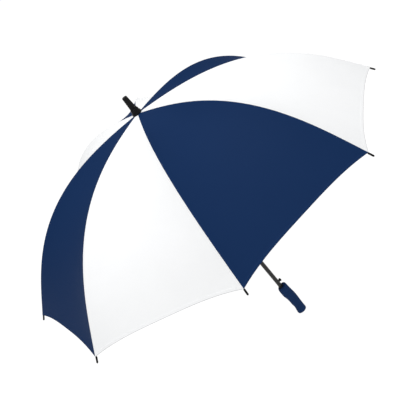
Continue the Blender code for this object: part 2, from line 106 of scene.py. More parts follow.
SKIRT_R = 0.0093
SKIRT_BOTTOM = -0.066
SPRING_R = 0.0095
SPRING_WIRE_R = 0.0006
SPRING_TURNS = 8
CAP_BOTTOM = APEX_Z + 0.0005
CAP_TOP = APEX_Z + 0.021
GRIP_AZIMUTH = HALF_GORE
HANDLE_LENGTH = 0.126
HANDLE_DEPTH = 0.0155
HANDLE_TOP_SLOPE = 0.19
HANDLE_SIDES_AT = (  # height, finger side and thumb side, in the grip's plane
    (0.000, -0.0128, 0.0232),
    (0.012, -0.0108, 0.0224),
    (0.030, -0.0084, 0.0226),
    (0.044, -0.0098, 0.0233),
    (0.058, -0.0100, 0.0238),
    (0.074, -0.0116, 0.0236),
    (0.091, -0.0148, 0.0219),
    (0.108, -0.0153, 0.0206),
    (0.126, -0.0146, 0.0196),
)
RING_FOOT = 0.112
RING_HEAD = 0.1315
RING_R = 0.0081
BUTTON_Z = 0.1465
BUTTON_STEM_R = 0.0042
BUTTON_HOLE_R = 0.0047
BUTTON_HEAD_R = 0.0060

# The canopy's cloth
CLOTH_THICKNESS = 0.0004
SEAM_COLUMNS = (0, 0.0011, 0.0022, 0.0031, 0.0040, 0.0050)  # distances from a seam, across the gore
SEAM_RIDGE = 0.00030  # how far a felled seam stands proud
SEAM_WIDTH = 0.0040
SEAM_EDGE = 0.0009  # over which a seam's ridge falls to the plain cloth
FULL_COLUMNS_WIDTH = 0.02  # half a gore narrower than this has its seam columns drawn together
PLAIN_COLUMNS = 13
ROW_STEP = 0.009
HEM_WIDTH = 0.0095
HEM_RIDGE = 0.00040
HEM_EDGE = 0.0008
HEM_ROWS = (0.0115, 0.0103, 0.0095, 0.0087, 0.0079, 0.0071, 0.0055, 0.0030, 0.0012, 0.0004, 0)
RIPPLE = 0.00012  # height of the small tension ripples beside a seam
RIPPLE_LENGTH = 0.052
RIPPLE_START = 0.010  # distance from the seam at which the ripples are full
RIPPLE_FADE = 0.045
RIPPLE_TOP = 0.15  # length along the gore over which they begin
# A gore's lengths from the top, each with the rib that carries it and how narrow it folds
CLOTH_BANDS = (
    ("top", 0.0, 0.120, "inner", 0.17),
    ("upper", 0.120, FLEX_S, "inner", 0.095),
    ("lower", FLEX_S, 0.560, "outer", 0.075),
    ("hem", 0.560, CANOPY_LENGTH, "outer", 0.055),
)

# Colours, linear
NAVY = (0.0078, 0.0270, 0.0895)
WHITE = (0.925, 0.930, 0.935)
FOAM_NAVY = (0.0092, 0.0320, 0.1060)
BLACK = (0.0045, 0.0045, 0.0048)
STEEL = (0.52, 0.53, 0.55)
BLACK_STEEL = (0.016, 0.016, 0.017)
SHAFT_PAINT = (0.0065, 0.0062, 0.0058)
FIBREGLASS = (0.0075, 0.0075, 0.0080)

# The camera
CAMERA_PLACE = (0.3046, -2.6145, 1.6545)
CAMERA_AZIMUTH = math.radians(4.622)
CAMERA_ELEVATION = math.radians(23.129)
CAMERA_ROLL = math.radians(-38.904)
CAMERA_LENS = 77.56
CAMERA_SHIFT = (-0.0601, -0.0601)
SENSOR = 36


# ------------------------------------------------------------------ the frame's geometry


def smooth_step(t):
    t = np.clip(t, 0, 1)
    return 3 * t**2 - 2 * t**3


def smooth_through(x, xs, ys):
    """A smooth curve through these points."""
    slopes = np.gradient(ys, xs)
    i = int(np.clip(np.searchsorted(xs, x) - 1, 0, len(xs) - 2))
    width = xs[i + 1] - xs[i]
    t = (x - xs[i]) / width
    rise = smooth_step(t)
    bend = width * t * (1 - t) * (slopes[i] * (1 - t) - slopes[i + 1] * t)
    return ys[i] * (1 - rise) + ys[i + 1] * rise + bend


def seam_slope(s):
    """Angle of a seam below the horizontal, at s along it."""
    share = np.clip(s / CANOPY_LENGTH, 0, 1)
    return APEX_SLOPE + RIM_DROP * smooth_step(share**SLOPE_POWER) + MIDDLE_SLOPE * np.sin(math.pi * share)


def seam_table(steps=600):
    s = np.linspace(0, CANOPY_LENGTH, steps + 1)
    slope = seam_slope(s)
    across = np.cumsum((np.cos(slope[1:]) + np.cos(slope[:-1])) / 2) * s[1]
    down = np.cumsum((np.sin(slope[1:]) + np.sin(slope[:-1])) / 2) * s[1]
    return s, SEAM_START_R + np.concatenate([[0], across]), APEX_Z - np.concatenate([[0], down])


SEAM = seam_table()


def seam_line(s):
    """Radius and height of the seam, carried on straight past its ends."""
    s = np.asarray(s, float)
    inside = np.clip(s, 0, CANOPY_LENGTH)
    over = s - inside
    slope = seam_slope(inside)
    r = np.interp(inside, SEAM[0], SEAM[1]) + over * np.cos(slope)
    z = np.interp(inside, SEAM[0], SEAM[2]) - over * np.sin(slope)
    return r, z


def inward(s):
    """Unit normal of the seam, towards the shaft."""
    slope = seam_slope(np.clip(s, 0, CANOPY_LENGTH))
    return -np.sin(slope), -np.cos(slope)


def rib_point(s, drop=RIB_DROP):
    r, z = seam_line(s)
    across, down = inward(s)
    return np.array([r + across * drop, z + down * drop], float)


NOTCH = np.array([HUB_R, APEX_Z - RIB_DROP])
CLIP = rib_point(CLIP_S, RIB_DROP + CLIP_DROP)
STRETCHER_LENGTH = float(np.linalg.norm(CLIP - NOTCH))
RUNNER = np.array([HUB_R, 2 * CLIP[1] - NOTCH[1]])
STRETCHER_DIRECTION = (RUNNER - CLIP) / STRETCHER_LENGTH
STRUT_PIVOT = RUNNER - STRETCHER_DIRECTION * STRUT_LENGTH
COLLAR = np.array([HUB_R, 2 * STRUT_PIVOT[1] - RUNNER[1]])


def azimuth_of(k):
    """Azimuth of rib k, where k counts from 1."""
    return 2 * math.pi * (k - 1) / RIBS


# ------------------------------------------------------------------ materials


class Shader:
    """A Principled material, with short ways to add procedural nodes to it."""

    def __init__(self, name, color, roughness, **values):
        self.material = bpy.data.materials.new(name)
        self.material.use_nodes = True
        self.tree = self.material.node_tree
        self.bsdf = self.tree.nodes["Principled BSDF"]
        self.bsdf.inputs["Base Color"].default_value = (*color, 1)
        self.bsdf.inputs["Roughness"].default_value = roughness
        for key, value in values.items():
            self.bsdf.inputs[key.replace("_", " ")].default_value = value

    def node(self, kind, inputs=None, **settings):
        made = self.tree.nodes.new("ShaderNode" + kind)
        for key, value in settings.items():
            setattr(made, key, value)
        for key, value in (inputs or {}).items():
            if isinstance(value, bpy.types.NodeSocket):
                self.tree.links.new(value, made.inputs[key])
            else:
                made.inputs[key].default_value = value
        return made

    def math(self, operation, *values):
        return self.node("Math", dict(enumerate(values)), operation=operation).outputs[0]

    def object_coordinates(self, scale=(1, 1, 1)):
        place = self.node("TexCoord").outputs["Object"]
        return self.node("Mapping", {"Vector": place, "Scale": scale}).outputs["Vector"]

    def noise(self, vector, scale, detail=4.0, roughness=0.55):
        inputs = {"Vector": vector, "Scale": scale, "Detail": detail, "Roughness": roughness}
        return self.node("TexNoise", inputs).outputs["Fac"]

    def spread(self, value, low, high, start=0.3, end=0.7):
        """value, from start to end, spread over low to high."""
        inputs = {"Value": value, "From Min": start, "From Max": end, "To Min": low, "To Max": high}
        return self.node("MapRange", inputs).outputs["Result"]

    def tint(self, color, brightness):
        """The base colour, brighter or darker by a socket's value."""
        scaled = self.node("VectorMath", {0: color, "Scale": brightness}, operation="SCALE").outputs[0]
        self.tree.links.new(scaled, self.bsdf.inputs["Base Color"])

    def rough(self, value):
        self.tree.links.new(value, self.bsdf.inputs["Roughness"])

    def bump(self, height, distance, strength=1.0):
        inputs = {"Height": height, "Distance": distance, "Strength": strength}
        made = self.node("Bump", inputs).outputs["Normal"]
        self.tree.links.new(made, self.bsdf.inputs["Normal"])


THREAD_PERIOD = 0.0007
STITCH_PERIOD = 0.0032
STITCH_SHARE = 0.72
SEAM_STITCH = 0.0030  # from the seam, and from the hem's inner edge
HEM_STITCH = 0.0079
STITCH_HALF_WIDTH = 0.0003
HEM_SHADE_WIDTH = 0.0016  # width of the darkened strip along the hem's edge, which is painted shade


def cloth_material(name, color, thread_brightness, hem_shade_brightness):
    """Pongee: a fine plain weave, faint unevenness, sewn lines along the seams and the hem, and painted shade
    in a narrow strip along the hem's edge.
    """
    shader = Shader(name, color, 0.62, Specular_IOR_Level=0.03)
    cloth = shader.node("SeparateXYZ", {0: shader.node("UVMap", uv_map="cloth").outputs[0]})
    edges = shader.node("SeparateXYZ", {0: shader.node("UVMap", uv_map="edges").outputs[0]})
    from_seam, along_seam = cloth.outputs["X"], cloth.outputs["Y"]
    from_hem, along_hem = edges.outputs["X"], edges.outputs["Y"]

    def threads(position):
        turns = shader.math("MULTIPLY", position, 2 * math.pi / THREAD_PERIOD)
        return shader.math("SINE", turns)

    def sewn(distance, line, position):
        on_line = shader.math("COMPARE", distance, line, STITCH_HALF_WIDTH)
        dash = shader.math("FRACT", shader.math("DIVIDE", position, STITCH_PERIOD))
        return shader.math("MULTIPLY", on_line, shader.math("LESS_THAN", dash, STITCH_SHARE))

    weave = shader.math("MULTIPLY", threads(from_seam), threads(along_seam))
    stitches = shader.math(
        "MAXIMUM", sewn(from_seam, SEAM_STITCH, along_seam), sewn(from_hem, HEM_STITCH, along_hem)
    )
    place = shader.object_coordinates()
    cloud = shader.noise(place, 5.0, 3.0)
    slub = shader.noise(shader.object_coordinates((1, 1, 9)), 160.0, 2.0)
    uneven = shader.math("ADD", shader.spread(cloud, 0.985, 1.015), shader.spread(slub, -0.008, 0.008))
    sewn_tint = shader.math("MULTIPLY", stitches, thread_brightness)
    # painted shade: the cloth is darker in a narrow strip along the hem's edge
    painted_hem_shade = shader.math("MULTIPLY", shader.math("LESS_THAN", from_hem, HEM_SHADE_WIDTH), hem_shade_brightness)
    shader.tint(color, shader.math("ADD", shader.math("ADD", uneven, sewn_tint), painted_hem_shade))
    shader.rough(shader.spread(slub, 0.58, 0.68))
    height = shader.math("ADD", shader.math("MULTIPLY", weave, 0.12), shader.math("MULTIPLY", stitches, 0.8))
    shader.bump(shader.math("ADD", height, shader.math("MULTIPLY", slub, 0.25)), 0.00006)
    return shader.material


def foam_material():
    """Closed-cell foam: a fine pitted skin with a soft sheen, and painted shade that darkens the colour in
    its pits.
    """
    shader = Shader("navy_grip_foam", FOAM_NAVY, 0.7, Specular_IOR_Level=0.06)
    place = shader.object_coordinates()
    cells = shader.node("TexVoronoi", {"Vector": place, "Scale": 1500.0}).outputs["Distance"]
    grain = shader.noise(place, 700.0, 5.0, 0.7)
    cloud = shader.noise(place, 45.0, 3.0)
    # painted shade: darker in the pits of the cell pattern; the cloud is random tone
    uneven = shader.math("ADD", shader.spread(cloud, 0.93, 1.05), shader.spread(cells, -0.12, 0.06))
    shader.tint(FOAM_NAVY, uneven)
    shader.rough(shader.spread(grain, 0.62, 0.82))
    shader.bump(shader.math("ADD", cells, shader.math("MULTIPLY", grain, 0.6)), 0.00012, 0.8)
    return shader.material


def plastic_material():
    """Moulded black plastic, with a fine spark-eroded grain."""
    shader = Shader("black_moulded_plastic", BLACK, 0.42, Specular_IOR_Level=0.16)
    place = shader.object_coordinates()
    grain = shader.noise(place, 1400.0, 3.0, 0.6)
    cloud = shader.noise(place, 90.0, 4.0)
    shader.tint(BLACK, shader.spread(cloud, 0.85, 1.25))
    shader.rough(shader.spread(cloud, 0.36, 0.50))
    shader.bump(grain, 0.00003, 0.7)
    return shader.material


def shaft_material():
    """Black stoved paint on a drawn tube: faint lengthwise lines under an uneven gloss."""
    shader = Shader("black_painted_shaft", BLACK, 0.3, Specular_IOR_Level=0.35)
    lines = shader.noise(shader.object_coordinates((1, 1, 0.02)), 1500.0, 2.0)
    orange_peel = shader.noise(shader.object_coordinates(), 420.0, 2.0)
    shader.tint(SHAFT_PAINT, shader.spread(lines, 0.8, 1.3))
    shader.rough(shader.spread(lines, 0.26, 0.38))
    shader.bump(orange_peel, 0.00002, 0.5)
    return shader.material


def fibreglass_material():
    """Pultruded rod: black resin with the glass strands showing along it."""
    shader = Shader("black_fibreglass_rod", BLACK, 0.4, Specular_IOR_Level=0.2)
    strands = shader.noise(shader.object_coordinates(), 260.0, 6.0, 0.7)
    shader.tint(FIBREGLASS, shader.spread(strands, 0.7, 1.6))
    shader.rough(shader.spread(strands, 0.32, 0.52))
    shader.bump(strands, 0.00003, 0.6)
    return shader.material


def steel_material(name, color, metallic, roughness):
    shader = Shader(name, color, roughness, Metallic=metallic)
    place = shader.object_coordinates()
    cloud = shader.noise(place, 320.0, 5.0, 0.65)
    shader.tint(color, shader.spread(cloud, 0.88, 1.1))
    shader.rough(shader.spread(cloud, roughness - 0.06, roughness + 0.1))
    shader.bump(cloud, 0.00002, 0.6)
    return shader.material


# the last number darkens the strip along the hem's edge, which is painted shade
navy_cloth = cloth_material("navy_pongee", NAVY, 0.5, -0.1)
white_cloth = cloth_material("white_pongee", WHITE, -0.06, -0.32)
foam = foam_material()
plastic = plastic_material()
shaft_paint = shaft_material()
fibreglass = fibreglass_material()
zinc = steel_material("zinc_plated_wire", STEEL, 1.0, 0.3)
black_steel = steel_material("black_coated_steel", BLACK_STEEL, 0.0, 0.34)


# ------------------------------------------------------------------ mesh helpers


def scratch_object(mesh):
    obj = bpy.data.objects.new("scratch", mesh)
    bpy.context.scene.collection.objects.link(obj)
    return obj


def evaluated_mesh(obj):
    """The object's mesh with its modifiers. The object is removed."""
    bpy.context.view_layer.update()
    graph = bpy.context.evaluated_depsgraph_get()
    mesh = bpy.data.meshes.new_from_object(obj.evaluated_get(graph))
    mesh.transform(obj.matrix_world)
    bpy.data.objects.remove(obj)
    edit = bmesh.new()
    edit.from_mesh(mesh)
    bmesh.ops.remove_doubles(edit, verts=edit.verts, dist=1e-7)
    bmesh.ops.recalc_face_normals(edit, faces=edit.faces)
    edit.to_mesh(mesh)
    edit.free()
    return mesh


def joined(*meshes):
    """One mesh that holds these closed ones."""
    edit = bmesh.new()
    for mesh in meshes:
        edit.from_mesh(mesh)
    mesh = bpy.data.meshes.new("joined")
    edit.to_mesh(mesh)
    edit.free()
    return mesh


def cut(base, *tools):
    """base with each tool taken out of it."""
    for tool in tools:
        obj, cutter = scratch_object(base), scratch_object(tool)
        modifier = obj.modifiers.new("cut", "BOOLEAN")
        modifier.object = cutter
        base = evaluated_mesh(obj)
        bpy.data.objects.remove(cutter)
    return base


def rounded(profile, radius=0.0006, steps=3, closed=True):
    """The profile with its corners rounded off."""
    count = len(profile)
    out = []
    for i, point in enumerate(profile):
        here = np.array(point, float)
        if not closed and i in (0, count - 1):
            out.append(tuple(here))
            continue
        before, after = np.array(profile[i - 1], float), np.array(profile[(i + 1) % count], float)
        back, on = before - here, after - here
        reach = min(radius, np.linalg.norm(back) * 0.45, np.linalg.norm(on) * 0.45)
        start = here + back / np.linalg.norm(back) * reach
        end = here + on / np.linalg.norm(on) * reach
        for t in np.linspace(0, 1, steps + 1):
            out.append(tuple((1 - t) ** 2 * start + 2 * t * (1 - t) * here + t**2 * end))
    return out


def turned(profile, steps=64, closed=True):
    """A profile of (radius, height) turned round Z."""
    mesh = bpy.data.meshes.new("profile")
    edges = [(i, i + 1) for i in range(len(profile) - 1)]
    if closed:
        edges.append((len(profile) - 1, 0))
    mesh.from_pydata([(r, 0, z) for r, z in profile], edges, [])
    obj = scratch_object(mesh)
    screw = obj.modifiers.new("turn", "SCREW")
    screw.steps = screw.render_steps = steps
    screw.use_merge_vertices = True
    screw.merge_threshold = 1e-7
    return evaluated_mesh(obj)


def tube(points, radii, resolution=3):
    """A round rod along these points, with a radius for each."""
    curve = bpy.data.curves.new("rod", "CURVE")
    curve.dimensions = "3D"
    curve.bevel_depth = 1
    curve.bevel_resolution = resolution
    curve.use_fill_caps = True
    spline = curve.splines.new("POLY")
    spline.points.add(len(points) - 1)
    for target, place, radius in zip(spline.points, points, radii):
        target.co = (*place, 1)
        target.radius = radius
    return evaluated_mesh(scratch_object(curve))


def moved(mesh, *matrices):
    """A copy of the mesh, with these matrices applied in turn, last first."""
    mesh = mesh.copy()
    for matrix in reversed(matrices):
        mesh.transform(matrix)
    return mesh


def spun(k):
    return Matrix.Rotation(azimuth_of(k), 4, "Z")


def across_plane(point, middle=0.0):
    """Puts something turned round Z on an axis across the rib's plane, at (radius, height)."""
    return Matrix.Translation((point[0], middle, point[1])) @ Matrix.Rotation(-math.pi / 2, 4, "X")


def in_plane(point, side=0.0):
    return (point[0], side, point[1])


def eye(point, middle=0.0, width=EYE_WIDTH, outer=EYE_R, inner=EYE_HOLE_R):
    """A ring for a pin or a wire, across the rib's plane."""
    half = width / 2
    profile = rounded([(inner, half), (outer, half), (outer, -half), (inner, -half)], 0.0003, 2)
    return moved(turned(profile, 24), across_plane(point, middle))


def rivet(point, width, radius, head, middle=0.0):
    """A pin with a domed head at each end, across the rib's plane."""
    half = width / 2
    side = [(0, half + head * 0.55), (head * 0.6, half + head * 0.4), (head, half), (radius, half)]
    profile = side + [(r, -z) for r, z in reversed(side)]
    return moved(turned(profile, 20, closed=False), across_plane(point, middle))


def plate(low, high, turn):
    """A block with softened edges, between two corners, then turned."""
    edit = bmesh.new()
    bmesh.ops.create_cube(edit, size=1)
    size = Vector(high) - Vector(low)
    edit.transform(Matrix.Translation((Vector(low) + Vector(high)) / 2) @ Matrix.Diagonal((*size, 1)))
    bmesh.ops.bevel(edit, geom=edit.edges[:], offset=min(size) * 0.22, segments=2, affect="EDGES")
    edit.transform(turn)
    mesh = bpy.data.meshes.new("plate")
    edit.to_mesh(mesh)
    edit.free()
    return mesh


def piece(name, mesh, material, body, replaced=(), sharp=38):
    """An object that rides on a body and stands for these CAD nodes."""
    obj = bpy.data.objects.new(name, mesh)
    mesh.name = name
    mesh.materials.clear()
    mesh.materials.append(material)
    if sharp:
        mesh.shade_smooth()
        mesh.set_sharp_from_angle(angle=math.radians(sharp))
    bpy.context.scene.collection.objects.link(obj)
    if body:
        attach(obj, body)
    if replaced:
        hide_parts(*replaced)
    return obj


# ------------------------------------------------------------------ the canopy


def cut_back(s, v):
    """The length along the gore, away from its seams, that goes with a length along a seam."""
    near_hem = (np.maximum(s, 0) / CANOPY_LENGTH) ** SCALLOP_REACH
    return s * (1 - SCALLOP * (1 - np.abs(v) ** SCALLOP_POWER) * near_hem)


def rows_between(start, end):
    """Stations from start to end, close together where the hem is sewn."""
    last = end >= CANOPY_LENGTH - 1e-9
    stop = CANOPY_LENGTH - HEM_ROWS[0] if last else end
    plain = np.linspace(start, stop, max(2, int(round((stop - start) / ROW_STEP)) + 1))
    hem = [CANOPY_LENGTH - d for d in HEM_ROWS[1:]] if last else []
    return np.concatenate([plain, hem])


def columns_at(s, side):
    """Values of v from the seam to the middle of the gore, for one station."""
    half_width = float(seam_line(s)[0]) * math.sin(HALF_GORE)
    shrink = min(1.0, half_width / FULL_COLUMNS_WIDTH)
    near = np.array(SEAM_COLUMNS) * shrink
    far = np.linspace(near[-1], half_width, PLAIN_COLUMNS + 1)[1:]
    distance = np.concatenate([near, far])
    return side * (1 - distance / half_width), distance


def hem_offset(s):
    """How far the hem's fold stands proud of the cloth on each side."""
    return HEM_RIDGE * smooth_step((s - (CANOPY_LENGTH - HEM_WIDTH)) / HEM_EDGE + 0.5)


def sheet_point(s, v):
    """A point of the cloth's outer face, hem and seam ridges included."""
    scalloped = cut_back(s, v)
    r, z = seam_line(scalloped)
    half_width = r * math.sin(HALF_GORE)
    across, down = inward(scalloped)
    from_seam = (1 - np.abs(v)) * half_width
    share = np.clip(scalloped / CANOPY_LENGTH, 0, 1)
    sag = GORE_SAG * np.sin(math.pi * share) * smooth_step(share / SAG_START) * (1 - v**2)
    ridge = SEAM_RIDGE * smooth_step((SEAM_WIDTH - from_seam) / SEAM_EDGE + 0.5)
    beside_seam = smooth_step(from_seam / RIPPLE_START) * np.exp(-from_seam / RIPPLE_FADE)
    fade = beside_seam * smooth_step(s / RIPPLE_TOP)
    ripple = RIPPLE * fade * np.sin(2 * math.pi * s / RIPPLE_LENGTH)
    inset = sag - np.maximum(ridge, hem_offset(s)) - ripple
    return np.stack([r * math.cos(HALF_GORE) + across * inset, v * half_width, z + down * inset], -1)


def sheet_normal(s, v, step=0.0002):
    """Outward unit normal of the cloth, the same on both sides of any cut."""
    along = sheet_point(s + step, v) - sheet_point(s - step, v)
    turn = sheet_point(s, v + step) - sheet_point(s, v - step)
    normal = np.cross(along, turn)
    normal = normal / np.linalg.norm(normal, axis=-1, keepdims=True)
    return np.where(normal[..., 2:] < 0, -normal, normal)


def cloth_mesh(start, end, side):
    """Half of a gore between two stations, as a thin closed shell with true normals.

    side is -1 for the half beside the gore's first rib and 1 for the half beside its second."""
    stations = rows_between(start, end)
    columns = [columns_at(s, side) for s in stations]
    v = np.array([c[0] for c in columns])
    distance = np.array([c[1] for c in columns])
    s = np.repeat(stations[:, None], v.shape[1], 1)
    outer = sheet_point(s, v)
    normal = sheet_normal(s, v)
    thickness = CLOTH_THICKNESS + 2 * hem_offset(s) * (s < CANOPY_LENGTH - 1e-6)
    inner = outer - normal * thickness[..., None]
    rows, cols = v.shape
    index = np.arange(rows * cols).reshape(rows, cols)
    back = index + rows * cols
    points = np.concatenate([outer.reshape(-1, 3), inner.reshape(-1, 3)])
    smooth = np.concatenate([normal.reshape(-1, 3), -normal.reshape(-1, 3)])

    faces = []
    for i in range(rows - 1):
        for j in range(cols - 1):
            quad = (index[i, j], index[i + 1, j], index[i + 1, j + 1], index[i, j + 1])
            under = (back[i, j], back[i, j + 1], back[i + 1, j + 1], back[i + 1, j])
            faces += [quad, under] if side < 0 else [quad[::-1], under[::-1]]
    shell = len(faces)
    edge = [*index[0, :], *index[1:, -1], *index[-1, -2::-1], *index[-2:0:-1, 0]]
    for a, b in zip(edge, edge[1:] + edge[:1]):
        rim = (a, b, b + rows * cols, a + rows * cols)
        faces.append(rim if side < 0 else rim[::-1])

    mesh = bpy.data.meshes.new("cloth")
    mesh.from_pydata(points.tolist(), [], [tuple(int(i) for i in face) for face in faces])
    mesh.shade_smooth()
    cloth_uv = mesh.uv_layers.new(name="cloth")
    edge_uv = mesh.uv_layers.new(name="edges")
    corner = np.empty(len(mesh.loops), np.int32)
    mesh.loops.foreach_get("vertex_index", corner)
    flat = corner % (rows * cols)
    half_width = seam_line(s)[0] * math.sin(HALF_GORE)
    cloth = np.stack([distance, s], -1).reshape(-1, 2)[flat]
    edges = np.stack([CANOPY_LENGTH - s, v * half_width], -1).reshape(-1, 2)[flat]
    cloth_uv.data.foreach_set("uv", cloth.astype(np.float32).ravel())
    edge_uv.data.foreach_set("uv", edges.astype(np.float32).ravel())

    normals = smooth[corner]
    for polygon in mesh.polygons[shell:]:
        normals[list(polygon.loop_indices)] = polygon.normal
    mesh.normals_split_custom_set(normals.tolist())
    area = sum(p.area for p in mesh.polygons[:shell]) / 2
    return mesh, area


def folding(start, end, side):
    """The direction in which a strip of cloth gathers up beside its rib, and a point on the rib.

    Both are in the frame of the gore's middle line. The direction is square to the rib's own line, so
    the sewn edge stays on the rib."""
    s = np.linspace(start, end, 15)
    rib = sheet_point(s, np.full(15, float(side)))
    along = rib[-1] - rib[0]
    along /= np.linalg.norm(along)
    middle = sheet_point(s[7], np.array(0.0)) - rib[7]
    square = middle - along * (middle @ along)
    return Vector(square).normalized(), Vector(rib.mean(0))


def make_canopy():
    for name, start, end, carrier, keep in CLOTH_BANDS:
        node_part = "upper" if carrier == "inner" else "lower"
        for side, letter in ((-1, "a"), (1, "b")):
            mesh, area = cloth_mesh(start, end, side)
            direction, point = folding(start, end, side)
            for k in range(1, RIBS + 1):
                rib = k if side < 0 else k % RIBS + 1
                turn = Matrix.Rotation(azimuth_of(k) + HALF_GORE, 4, "Z")
                obj = piece(
                    f"gore_{k}_{letter}_{name}",
                    moved(mesh, turn),
                    navy_cloth if k % 2 else white_cloth,
                    f"rib_{rib}_{carrier}",
                    [f"gore_{k}_{node_part}"],
                    sharp=None,
                )
                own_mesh(obj)


# ------------------------------------------------------------------ ribs, stretchers and struts


ROD_START = 0.004  # the rod's first station along the seam
CLIP_COLLAR_R = 0.0024
CLIP_COLLAR_HALF = 0.0055
TIE_STATIONS = (0.180, 0.560)
FORK_BACK = -0.0024  # the stretcher's fork, along the stretcher from its rivet
FORK_FRONT = 0.0080
FORK_HALF = 0.0022
CHEEK_IN, CHEEK_OUT = 0.0011, 0.0026


def rib_meshes():
    """The rod, then its fittings near the stretcher, then its tip, in the plane of rib 1."""
    stations = np.linspace(ROD_START, CANOPY_LENGTH, 60)
    line = [NOTCH + (rib_point(ROD_START) - NOTCH) * 0.15, *[rib_point(s) for s in stations]]
    rod = tube([in_plane(p) for p in line], [RIB_R] * len(line), 3)

    slope = Matrix.Rotation(float(seam_slope(CLIP_S)), 4, "Y")
    at_clip = Matrix.Translation(in_plane(CLIP)) @ slope
    inside = RIB_R * 0.9
    collar = [
        (inside, CLIP_COLLAR_HALF),
        (CLIP_COLLAR_R, CLIP_COLLAR_HALF),
        (CLIP_COLLAR_R, -CLIP_COLLAR_HALF),
        (inside, -CLIP_COLLAR_HALF),
    ]
    along_rib = Matrix.Translation(in_plane(rib_point(CLIP_S))) @ slope @ Matrix.Rotation(math.pi / 2, 4, "Y")
    fittings = joined(
        eye(NOTCH),
        moved(turned(rounded(collar, 0.0005, 3), 28), along_rib),
        plate((-0.0022, -0.0008, 0.0), (0.0022, 0.0008, CLIP_DROP - 0.0015), at_clip),
        eye(CLIP, width=0.0016, outer=0.0023),
    )

    end = rib_point(CANOPY_LENGTH)
    angle = float(seam_slope(CANOPY_LENGTH))
    outline = [
        (RIB_R * 0.9, -0.0030),
        (0.0021, -0.0026),
        (0.0021, -0.0004),
        (TIP_R, 0.0008),
        (TIP_R, TIP_LENGTH - 0.0035),
        (0.0024, TIP_LENGTH - 0.0015),
        (0.0013, TIP_LENGTH - 0.0002),
        (0, TIP_LENGTH),
    ]
    tip = turned(rounded(outline, 0.0008, 3, closed=False), 28, closed=False)
    lay_down = Matrix.Translation(in_plane(end)) @ Matrix.Rotation(angle + math.pi / 2, 4, "Y")
    return rod, fittings, moved(tip, lay_down)


def tie_mesh(s):
    """The thread loop that ties the cloth to the rib."""
    slope = Matrix.Rotation(float(seam_slope(s)), 4, "Y")
    wraps = []
    for offset in (-0.0009, 0, 0.0009):
        ring = [
            (RIB_R + 0.0002, 0.0004),
            (RIB_R + 0.0006, 0.0003),
            (RIB_R + 0.0006, -0.0003),
            (RIB_R + 0.0002, -0.0004),
        ]
        along_rib = slope @ Matrix.Rotation(math.pi / 2, 4, "Y")
        place = Matrix.Translation(in_plane(rib_point(s + offset))) @ along_rib
        wraps.append(moved(turned(rounded(ring, 0.0002, 2), 20), place))
    knot = plate(
        (-0.0014, -0.0005, 0),
        (0.0014, 0.0005, RIB_DROP - RIB_R),
        Matrix.Translation(in_plane(rib_point(s, RIB_DROP - RIB_R))) @ slope,
    )
    return joined(*wraps, knot)


def stretcher_mesh():
    along = STRETCHER_DIRECTION
    tilt = Matrix.Translation(in_plane(CLIP)) @ Matrix.Rotation(math.atan2(-along[1], along[0]), 4, "Y")
    rod = tube([in_plane(CLIP + along * 0.0060), in_plane(RUNNER - along * 0.0014)], [STRETCHER_R] * 2, 3)
    return joined(
        plate((FORK_BACK, CHEEK_IN, -FORK_HALF), (FORK_FRONT, CHEEK_OUT, FORK_HALF), tilt),
        plate((FORK_BACK, -CHEEK_OUT, -FORK_HALF), (FORK_FRONT, -CHEEK_IN, FORK_HALF), tilt),
        plate((0.0042, -CHEEK_OUT, -0.0021), (0.0092, CHEEK_OUT, 0.0021), tilt),
        rivet(CLIP, 0.0053, 0.0008, 0.0015),
        rod,
        eye(RUNNER),
        rivet(STRUT_PIVOT, 2 * STRUT_OFFSET, 0.0008, 0.0013, STRUT_OFFSET * 0.32),
    )


def strut_mesh():
    along = (COLLAR - STRUT_PIVOT) / STRUT_LENGTH
    places = [
        in_plane(STRUT_PIVOT + along * 0.0013, STRUT_OFFSET),
        in_plane(STRUT_PIVOT + along * STRUT_LENGTH * 0.22, STRUT_OFFSET),
        in_plane(STRUT_PIVOT + along * STRUT_LENGTH * 0.30, STRUT_OFFSET * 0.85),
        in_plane(COLLAR - along * STRUT_LENGTH * 0.30, STRUT_OFFSET * 0.15),
        in_plane(COLLAR - along * STRUT_LENGTH * 0.22),
        in_plane(COLLAR - along * 0.0013),
    ]
    return joined(
        tube(places, [STRUT_R] * len(places), 2),
        eye(STRUT_PIVOT, STRUT_OFFSET, 0.0018),
        eye(COLLAR),
    )


def make_ribs():
    rod, fittings, tip = rib_meshes()
    stretcher, strut = stretcher_mesh(), strut_mesh()
    ties = [(f"tie_{s * 1000:.0f}", tie_mesh(s), "inner" if s < FLEX_S else "outer") for s in TIE_STATIONS]
    for k in range(1, RIBS + 1):
        turn = spun(k)
        inner, outer = f"rib_{k}_inner", f"rib_{k}_outer"
        shown = piece(f"rib_{k}_rod", moved(rod, turn), fibreglass, None, [inner, outer])
        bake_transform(shown)
        piece(f"rib_{k}_fittings", moved(fittings, turn), plastic, inner)
        piece(f"rib_{k}_tip", moved(tip, turn), plastic, outer)
        for name, mesh, part in ties:
            piece(f"rib_{k}_{name}", moved(mesh, turn), plastic, f"rib_{k}_{part}")
        node = f"stretcher_{k}"
        piece(f"{node}_link", moved(stretcher, turn), black_steel, node, [node])
        node = f"strut_{k}"
        piece(f"{node}_link", moved(strut, turn), black_steel, node, [node])


# ------------------------------------------------------------------ hubs, shaft and spring


def ring_of_wire(z, radius=WIRE_R, steps=12):
    angles = np.linspace(0, 2 * math.pi, steps, endpoint=False)
    profile = [(HUB_R + radius * math.cos(a), z + radius * math.sin(a)) for a in angles]
    return turned(profile, 72)


def hub_mesh(profile, z, half_height):
    slots = joined(
        *[
            plate(
                (SLOT_FLOOR_R, -SLOT_WIDTH / 2, z - half_height),
                (0.020, SLOT_WIDTH / 2, z + half_height),
                spun(k),
            )
            for k in range(1, RIBS + 1)
        ]
    )
    return cut(turned(rounded(profile, 0.0005, 3), 96), slots)


